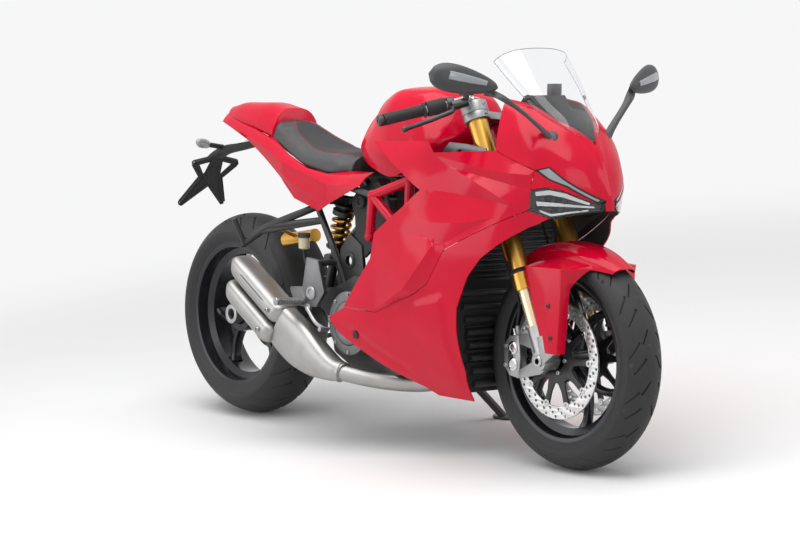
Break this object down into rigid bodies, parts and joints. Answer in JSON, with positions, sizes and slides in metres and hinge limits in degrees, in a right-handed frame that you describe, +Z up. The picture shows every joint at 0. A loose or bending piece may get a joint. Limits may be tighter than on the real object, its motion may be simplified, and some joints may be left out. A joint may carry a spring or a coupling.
{
  "type": "sport bike",
  "caption": "Full-fairing sport motorcycle on its side stand, with steering fork, spinning wheels, single-sided swingarm and stacked silencers.",
  "frame": {"origin": "on the floor, in the middle of the parked bike's bounding box", "axes": "+X forward, +Y to the rider's left, +Z up; the bike leans 9 degrees to the left on its stand"},
  "size_m": [2.0928, 0.811, 1.1397],
  "materials": {
    "tyre": "matte",
    "wheel_black": "gloss",
    "disc_steel": "brushed",
    "steel": "satin",
    "gold": "anodised",
    "slider": "satin",
    "silver": "satin",
    "rubber": "matte",
    "black_plastic": "matte",
    "black_metal": "satin",
    "red_plastic": "gloss",
    "red_metal": "gloss",
    "clear": "clear",
    "seat": "matte",
    "lamp_red": "gloss",
    "engine": "cast",
    "pipe_steel": "satin"
  },
  "bodies": {
    "chassis": {"chain": "steel", "rear_caliper": "black_metal", "upper_fairing_right": "red_plastic", "upper_fairing_left": "red_plastic", "lower_fairing_right": "red_plastic", "lower_fairing_left": "red_plastic", "nose_cowl": "red_plastic", "headlamp_lenses": "clear", "headlamp_bowls": "black_plastic", "windscreen": "clear", "dash": "black_plastic", "mirror_right": "black_plastic", "mirror_left": "black_plastic", "fuel_tank": "red_metal", "filler_cap": "silver", "seat": "seat", "tail_hump": "red_plastic", "tail_panels": "red_plastic", "tail_lamp": "lamp_red", "plate_hanger": "black_plastic", "trellis_frame": "red_metal", "subframe": "black_metal", "engine": "engine", "front_cylinder": "engine", "rear_cylinder": "engine", "radiator": "black_metal", "belly_inlet": "black_plastic", "swingarm": "black_metal", "rear_shock": "black_metal", "shock_spring": "gold", "shock_reservoir": "gold", "exhaust": "pipe_steel", "silencers": "pipe_steel", "footrest_plates": "silver", "pillion_hangers": "black_metal"},
    "fork": {"fork_tubes": "gold", "fork_sliders": "slider", "fork_feet": "silver", "front_axle": "steel", "lower_clamp": "silver", "upper_clamp": "silver", "clip_ons": "silver", "grips": "rubber", "switch_blocks": "black_plastic", "levers": "silver", "front_calipers": "silver", "front_fender": "red_plastic"},
    "front_wheel": {"front_tyre": "tyre", "front_rim": "wheel_black", "front_discs": "disc_steel"},
    "rear_wheel": {"rear_tyre": "tyre", "rear_rim": "wheel_black", "rear_disc": "disc_steel", "rear_hub": "steel", "wheel_nut": "silver", "rear_sprocket": "steel"},
    "side_stand": {"side_stand": "black_metal"}
  },
  "joints": [
    {"name": "steering", "type": "hinge", "parent": "chassis", "child": "fork", "pos_m": [0.471, -0.03819, 0.81434], "axis": [-0.4067, 0.1429, 0.9023], "range_deg": [-28, 28]},
    {"name": "front_wheel_spin", "type": "hinge", "parent": "fork", "child": "front_wheel", "pos_m": [0.7465, -0.12003, 0.29761], "axis": [0, 0.9877, -0.1564], "continuous": true},
    {"name": "rear_wheel_spin", "type": "hinge", "parent": "chassis", "child": "rear_wheel", "pos_m": [-0.7315, -0.11768, 0.31243], "axis": [0, 0.9877, -0.1564], "continuous": true},
    {"name": "side_stand_fold", "type": "hinge", "parent": "chassis", "child": "side_stand", "pos_m": [0.0175, 0.02165, 0.2205], "axis": [-0.2234, 0.9729, -0.0591], "range_deg": [0, 111]}
  ]
}
